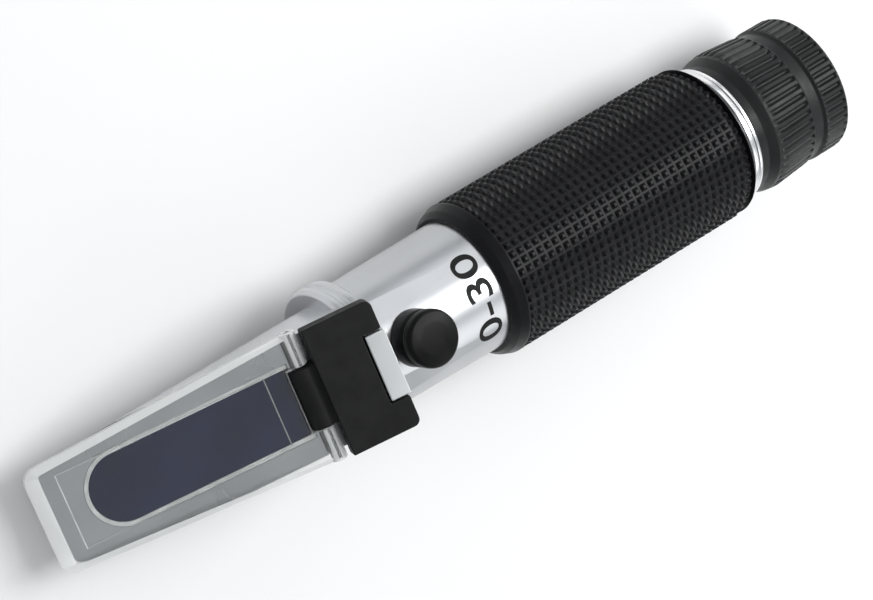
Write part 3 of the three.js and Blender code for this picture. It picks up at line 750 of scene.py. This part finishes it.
FLAT_X = (-20.4, -4.0)
FLAT_DISTANCE = 12.07  # from the axis, at the front
FLAT_TILT = math.radians(1.5)
FLAT_ANGLE = math.radians(35)
FLAT_REACH = 8
BUSH_R = 2.6

PRINT_TEXT = "0-30"
PRINT_HEIGHT = 5.2
PRINT_BASE_X = 1.9
PRINT_SPAN = math.radians(80)
PRINT_RAISED, PRINT_WEIGHT = 0.02, 0.01
PRINT_CUTS = 60  # strips that let the print bend round the barrel


def barrel_radius(x):
    share = (x - FLAT_X[0]) / (GRIP_X[0] - FLAT_X[0])
    return BARREL_R_FRONT + (BARREL_R_REAR - BARREL_R_FRONT) * min(1.0, max(0.0, share))


def barrel_tube(finish):
    """A tube that swells a little towards the grip, with a milled flat on each side."""
    front, rear = BARREL_X
    tube = turned(rounded([
        (front, BARREL_BORE_R), (front, BARREL_R_FRONT, 0.3), (FLAT_X[0], BARREL_R_FRONT),
        (GRIP_X[0], BARREL_R_REAR), (rear, BARREL_R_REAR, 0.3), (rear, BARREL_BORE_R),
    ]))
    start = Matrix.Translation((FLAT_X[0], 0, FLAT_DISTANCE)) @ Matrix.Rotation(-FLAT_TILT, 4, "Y")
    for side in (-1, 1):
        slab = block((0, FLAT_X[1] - FLAT_X[0]), (-FLAT_REACH, FLAT_REACH), (0, FLAT_REACH))
        place = Matrix.Rotation(-side * FLAT_ANGLE, 4, "X") @ start
        tube = combined(tube, "DIFFERENCE", moved(slab, place))
    inside, outside = 5, 20
    hole = upright(bore(BUSH_R + GAP, inside, outside, ROUND))
    tube = combined(tube, "DIFFERENCE", moved(hole, Matrix.Translation((CAL_X, 0, 0))))
    piece("barrel_fine", tube, ON_AXIS, "instrument", ["barrel_tube"], finish, 4)


def barrel_print(finish):
    """The measuring range printed round the barrel, with its feet to the grip."""
    curve = bpy.data.curves.new("print", "FONT")
    curve.body = PRINT_TEXT
    curve.size = 1
    curve.resolution_u = 6
    curve.extrude = PRINT_RAISED
    curve.offset = PRINT_WEIGHT
    text = added("print", curve)
    bpy.context.view_layer.update()
    mesh = evaluated(text)
    low = [min(v.co[i] for v in mesh.vertices) for i in range(2)]
    high = [max(v.co[i] for v in mesh.vertices) for i in range(2)]
    width, height = high[0] - low[0], high[1] - low[1]
    bm = bmesh.new()
    bm.from_mesh(mesh)
    for k in range(1, PRINT_CUTS):
        geometry = bm.verts[:] + bm.edges[:] + bm.faces[:]
        cut = (low[0] + width * k / PRINT_CUTS, 0, 0)
        bmesh.ops.bisect_plane(bm, geom=geometry, plane_co=cut, plane_no=(1, 0, 0))
    for vert in bm.verts:
        angle = ((vert.co.x - low[0]) / width - 0.5) * PRINT_SPAN
        x = PRINT_BASE_X - (vert.co.y - low[1]) / height * PRINT_HEIGHT
        vert.co = on_ring(x, barrel_radius(x) + vert.co.z, angle)
    bmesh.ops.remove_doubles(bm, verts=bm.verts, dist=1e-4)
    piece("range_print", mesh_of(bm), ON_AXIS, "instrument", [], finish)


# ---- grip and trim ring --------------------------------------------------------------------------

STUDS_ROUND = 51
STUDS_LONG = 31
STUD_DEPTH = 0.6
STUD_FOOT, STUD_SIDE = 0.12, 0.24  # half a channel and a sloping side, as shares of the pitch
STUD_CREST = STUD_FOOT + STUD_SIDE
STUD_STOPS = (0.0, STUD_FOOT, STUD_CREST, 1 - STUD_CREST, 1 - STUD_FOOT)
KNURL_X = (GRIP_X[0] + 3.2, GRIP_X[1] - 1.0)
TAPER, TAPER_RUN = 1.1, 2.6  # how the field droops to the rear end
TRIM_R, TRIM_BORE_R = 13.3, 11.05


def stud_height(u, v):
    """Height of the knurl, 0 to 1, at a place within one stud."""

    def rise(t):
        edge = min(t, 1 - t)
        return min(1.0, max(0.0, (edge - STUD_FOOT) / STUD_SIDE))

    return min(rise(u), rise(v))


def grip_sleeve(finish):
    """A rubber sleeve with a smooth front shoulder and a field of small square studs."""
    front, rear = GRIP_X
    start, end = KNURL_X
    inner = BARREL_R_REAR + SNUG
    pitch = (end - start) / STUDS_LONG
    shoulder = rounded([
        (front, inner), (front, 13.3, 0.25), (front + 1.1, 14.25, 0.8),
        (start - 0.4, GRIP_R, 0.8), (start - 0.15, GRIP_R),
    ], 6)
    field = [(start + pitch * (i + stop), GRIP_R) for i in range(STUDS_LONG) for stop in STUD_STOPS]
    channel = [(end, GRIP_R - STUD_DEPTH)]
    lip = rounded([(end, GRIP_R - 0.25), (rear, GRIP_R - 1.2, 0.8), (rear, inner)], 6)
    turn = 2 * math.pi / STUDS_ROUND
    angles = [turn * (k + stop) for k in range(STUDS_ROUND) for stop in STUD_STOPS]

    def radius_at(x, r, angle):
        if x < start or r < GRIP_R:
            return r
        u = (x - start) / pitch % 1.0
        v = angle / turn % 1.0
        droop = TAPER * max(0.0, (x - end + TAPER_RUN) / TAPER_RUN) ** 2
        return r - STUD_DEPTH * (1 - stud_height(u, v)) - droop

    sleeve = turned(shoulder + field + channel + lip, radius_at=radius_at, angles=angles)
    piece("grip_fine", sleeve, ON_AXIS, "instrument", ["grip_sleeve"], finish, 25)


def trim_ring(finish):
    """A bright ring with a fine groove round its middle."""
    front, rear = TRIM_X
    centre = (front + rear) / 2
    groove, floor, low = 0.3, 0.08, TRIM_R - 0.3
    ring = turned(rounded([
        (front, TRIM_BORE_R), (front, TRIM_R, 0.3), (centre - groove, TRIM_R, 0.12),
        (centre - floor, low, 0.08), (centre + floor, low, 0.08), (centre + groove, TRIM_R, 0.12),
        (rear, TRIM_R, 0.35), (rear, TRIM_BORE_R),
    ]))
    piece("trim_ring_fine", ring, ON_AXIS, "instrument", ["trim_ring"], finish)


# ---- eyepiece ------------------------------------------------------------------------------------

RIBS = 48
RIB_DEPTH, RIB_SHARE, RIB_FADE = 0.6, 0.4, 0.3
BAND_FRONT, BAND_REAR = (68.7, 77.2), (80.4, 85.6)
BAND_R, WAIST_R = 13.4, 12.9
RIBBED_R, SKIN_R, COVER_BORE_R = 12.7, 12.4, 12.15
COVER_STEP = 0.5  # rough step along the outside of the cover
EYECUP_R = 9.5
CORE_R, CORE_BORE_R, CORE_EYE_R = 12.1, 11.15, 9.1
NOSE_TUBE_R, NOSE_ROOT_R, NOSE_BORE_R = 11.0, 10.6, 9.6
ORING_R = 10.3  # floor of the groove for the O-ring
OCULAR_R, OCULAR_BORE_R = 9.3, 8.3
LENS_R, LENS_CLEAR_R = 8.0, 7.1
LENS_BULGE = (0.8, 0.5)


def rib_cut(x, angle):
    """Depth of the cover's thin grooves between ribs, fading out at the ends of each band."""
    bands = (BAND_FRONT, BAND_REAR)
    depth = max(min(1.0, min(x - start, end - x) / RIB_FADE) for start, end in bands)
    if depth <= 0:
        return 0.0
    across_rib = abs((angle * RIBS / (2 * math.pi)) % 1.0 - 0.5) * 2
    groove = max(0.0, (across_rib - RIB_SHARE) / (1 - RIB_SHARE))
    return RIB_DEPTH * depth * math.sin(math.pi / 2 * min(1.0, 1.5 * groove))


def eyepiece_cover(finish):
    """The ribbed rubber cover, with a smooth groove between its bands, and the eyecup's lip."""
    front, rear = COVER_X
    lip = span("focus_ring")[1] + 0.1
    waist = BAND_FRONT[1] + 0.5, BAND_REAR[0] - 0.5
    outer = rounded([
        (front, COVER_BORE_R), (front, 12.5, 0.2), (front + 1.7, 12.75, 0.5),
        (front + 3.4, 13.7, 0.6), (front + 5.4, 14.0, 3.0), (BAND_FRONT[1], BAND_R, 0.3),
        (waist[0], WAIST_R, 0.3), (waist[1], WAIST_R, 0.3), (BAND_REAR[0], BAND_R, 0.3),
        (rear, 13.35, 1.0), (rear, EYECUP_R, 0.4), (lip, EYECUP_R), (lip, COVER_BORE_R),
    ])
    dense = []
    for (x0, r0), (x1, r1) in zip(outer, outer[1:] + outer[:1]):
        steps = int(abs(x1 - x0) / COVER_STEP) if min(r0, r1) > SKIN_R else 0
        between = range(1, steps)
        dense.append((x0, r0))
        dense += [(x0 + (x1 - x0) * k / steps, r0 + (r1 - r0) * k / steps) for k in between]

    def radius_at(x, r, angle):
        return r - rib_cut(x, angle) if r > RIBBED_R else r

    cover = turned(dense, RIBS * 12, radius_at)
    nodes = ["eyepiece_cover"]
    piece("eyepiece_cover_fine", cover, ON_AXIS, "eyepiece", nodes, finish, 40)


def round_part(node, body, finish, corners):
    """A small round piece inside, turned from an outline."""
    mesh = turned(rounded(corners), ROUND * 2)
    piece(node + "_fine", mesh, ON_AXIS, body, [node], finish)


def focus_ring(finish):
    front, rear = span("focus_ring")
    rim = span("ocular_tube")[1] + 0.3
    round_part("focus_ring", "eyepiece", finish, [
        (front, CORE_BORE_R), (front, CORE_R, 0.2), (rear, CORE_R, 0.2),
        (rear, CORE_EYE_R, 0.3), (rim, OCULAR_BORE_R, 0.1), (rim, CORE_BORE_R),
    ])


def nose_tube(finish):
    """The fixed nose: a root inside the barrel, a ring groove, and a seat for the scale."""
    front, rear = span("nose_tube")
    shoulder, groove = BARREL_X[1], middle("focus_oring", "x")
    seat, land, seat_r, land_r = front + 3.8, front + 5, 9.55, 8.3
    lip, floor = 0.7, 0.6  # half widths of the ring groove
    round_part("nose_tube", "instrument", finish, [
        (front, seat_r), (front, NOSE_ROOT_R), (shoulder - 0.3, NOSE_ROOT_R),
        (shoulder + 0.3, NOSE_TUBE_R), (groove - lip, NOSE_TUBE_R, 0.1),
        (groove - floor, ORING_R), (groove + floor, ORING_R), (groove + lip, NOSE_TUBE_R, 0.1),
        (rear, NOSE_TUBE_R, 0.3), (rear, NOSE_BORE_R, 0.2), (land, NOSE_BORE_R),
        (land, land_r), (seat, land_r), (seat, seat_r),
    ])


def lens_retainer(finish):
    front, rear = span("lens_retainer")
    inner = 7.4
    round_part("lens_retainer", "ocular", finish, [
        (front, LENS_CLEAR_R), (front, LENS_R), (rear, LENS_R, 0.15), (rear, inner, 0.15),
    ])


def ocular_tube(finish):
    front, rear = span("ocular_tube")
    floor = front + 1
    round_part("ocular_tube", "ocular", finish, [
        (front, LENS_CLEAR_R), (front, OCULAR_R, 0.2), (rear, OCULAR_R, 0.2),
        (rear, OCULAR_BORE_R, 0.1), (floor, OCULAR_BORE_R), (floor, LENS_CLEAR_R),
    ])


def eye_lens(finish):
    """A lens with two curved faces and a ground edge."""
    low, high = span("eye_lens")
    front_bulge, rear_bulge = LENS_BULGE
    front, rear = low + front_bulge, high - rear_bulge
    shares = spread(0, 1, 20)
    face = [(front - front_bulge * (1 - s * s), LENS_R * s) for s in shares]
    back = [(rear + rear_bulge * (1 - s * s), LENS_R * s) for s in reversed(shares)]
    lens = turned(face + back, ROUND * 2)
    piece("eye_lens_fine", lens, ON_AXIS, "ocular", ["eye_lens"], finish)


# ---- calibration ---------------------------------------------------------------------------------

CAP_R = 5.2
CAP_TOP = span("calibration_cap", "z")[1] - AXIS_H
CAP_WAIST = 15.6
CAP_WALL, CAP_CROWN = 1, 1.5
SCREW_R, SCREW_HEAD_R, SCREW_HEAD = 1.4, 2.2, 1.3
SLOT_WIDTH, SLOT_DEPTH = 0.6, 0.6
BUSH_BORE_R, BUSH_RIM_R, BUSH_RIM = 1.6, 3.1, 0.65


def calibration_cap(finish):
    """A rubber cap with a soft rim and a shallow waist, sitting astride the barrel."""
    skirt = CAP_R - 0.1
    plug = upright(turned(rounded([
        (0, 0), (0, skirt), (CAP_WAIST - 0.9, skirt, 0.8), (CAP_WAIST, CAP_R - 0.6, 0.6),
        (CAP_WAIST + 0.7, CAP_R, 0.6), (CAP_TOP - 0.6, CAP_R, 0.9),
        (CAP_TOP - 0.2, 3.0, 2.0), (CAP_TOP, 0),
    ], 8), ROUND * 2))
    reach = 20
    hollow = upright(bore(CAP_R - CAP_WALL, -OVERLAP, CAP_TOP - CAP_CROWN, ROUND))
    saddle = bore(BARREL_R_REAR - SNUG, -reach, reach)
    cap = bevelled(combined(plug, "DIFFERENCE", hollow, saddle), EDGE, angle=50, segments=2)
    nodes = ["calibration_cap"]
    piece("calibration_cap_fine", cap, AT_CAP, "cap", nodes, finish)


def calibration_screw(finish):
    low, high = (value - AXIS_H for value in span("calibration_screw", "z"))
    head = high - SCREW_HEAD
    screw = upright(turned(rounded([
        (low, 0), (low, SCREW_R - 0.2), (low + 0.3, SCREW_R), (head, SCREW_R),
        (head, SCREW_HEAD_R, 0.1), (high, SCREW_HEAD_R, 0.3), (high, 0),
    ]), ROUND))
    half, reach = SLOT_WIDTH / 2, 3
    slot = block((-reach, reach), (-half, half), (high - SLOT_DEPTH, high + OVERLAP))
    screw = combined(screw, "DIFFERENCE", slot)
    nodes = ["calibration_screw"]
    piece("calibration_screw_fine", screw, AT_CAP, "screw", nodes, finish)


def calibration_bush(finish):
    low, high = (value - AXIS_H for value in span("calibration_bush", "z"))
    rim = high - BUSH_RIM
    bush = upright(turned(rounded([
        (low, BUSH_BORE_R), (low, BUSH_R), (rim, BUSH_R), (rim, BUSH_RIM_R, 0.1),
        (high, BUSH_RIM_R, 0.2), (high, BUSH_BORE_R),
    ]), ROUND))
    nodes = ["calibration_bush"]
    piece("calibration_bush_fine", bush, AT_CAP, "instrument", nodes, finish)


# ---- assembly ------------------------------------------------------------------------------------

INNER = {  # the pieces inside keep their CAD shape and get a finish
    "aperture_stop": "black_metal", "objective_lens": "glass", "objective_retainer": "black_metal",
    "baffle_tube": "black_metal", "reticle_ring": "black_metal", "reticle_glass": "glass",
    "focus_oring": "cap", "field_lens": "glass", "lens_spacer": "black_metal",
    "ocular_key": "steel", "lens_carrier": "brass", "bimetal_strip": "bimetal",
    "bimetal_anchor": "brass", "bimetal_screw": "steel",
}

make_camera()
make_stage()
finishes = make_finishes()
prism_housing(finishes["housing"], finishes["block"])
main_prism(finishes["prism"])
prism_seal(finishes["sealant"])
daylight_plate(finishes["plate"], finishes["plate_edge"], finishes["plate_recess_shade"])
hinge_bracket(finishes["bracket"])
hinge_pin(finishes["steel"])
barrel_tube(finishes["barrel"])
barrel_print(finishes["ink"])
grip_sleeve(finishes["grip"])
trim_ring(finishes["chrome"])
nose_tube(finishes["black_metal"])
focus_ring(finishes["core"])
eyepiece_cover(finishes["cover"])
ocular_tube(finishes["black_metal"])
eye_lens(finishes["glass"])
lens_retainer(finishes["black_metal"])
calibration_bush(finishes["brass"])
calibration_screw(finishes["brass"])
calibration_cap(finishes["cap"])
for node, finish in INNER.items():
    coated(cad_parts[node].data, finishes[finish])
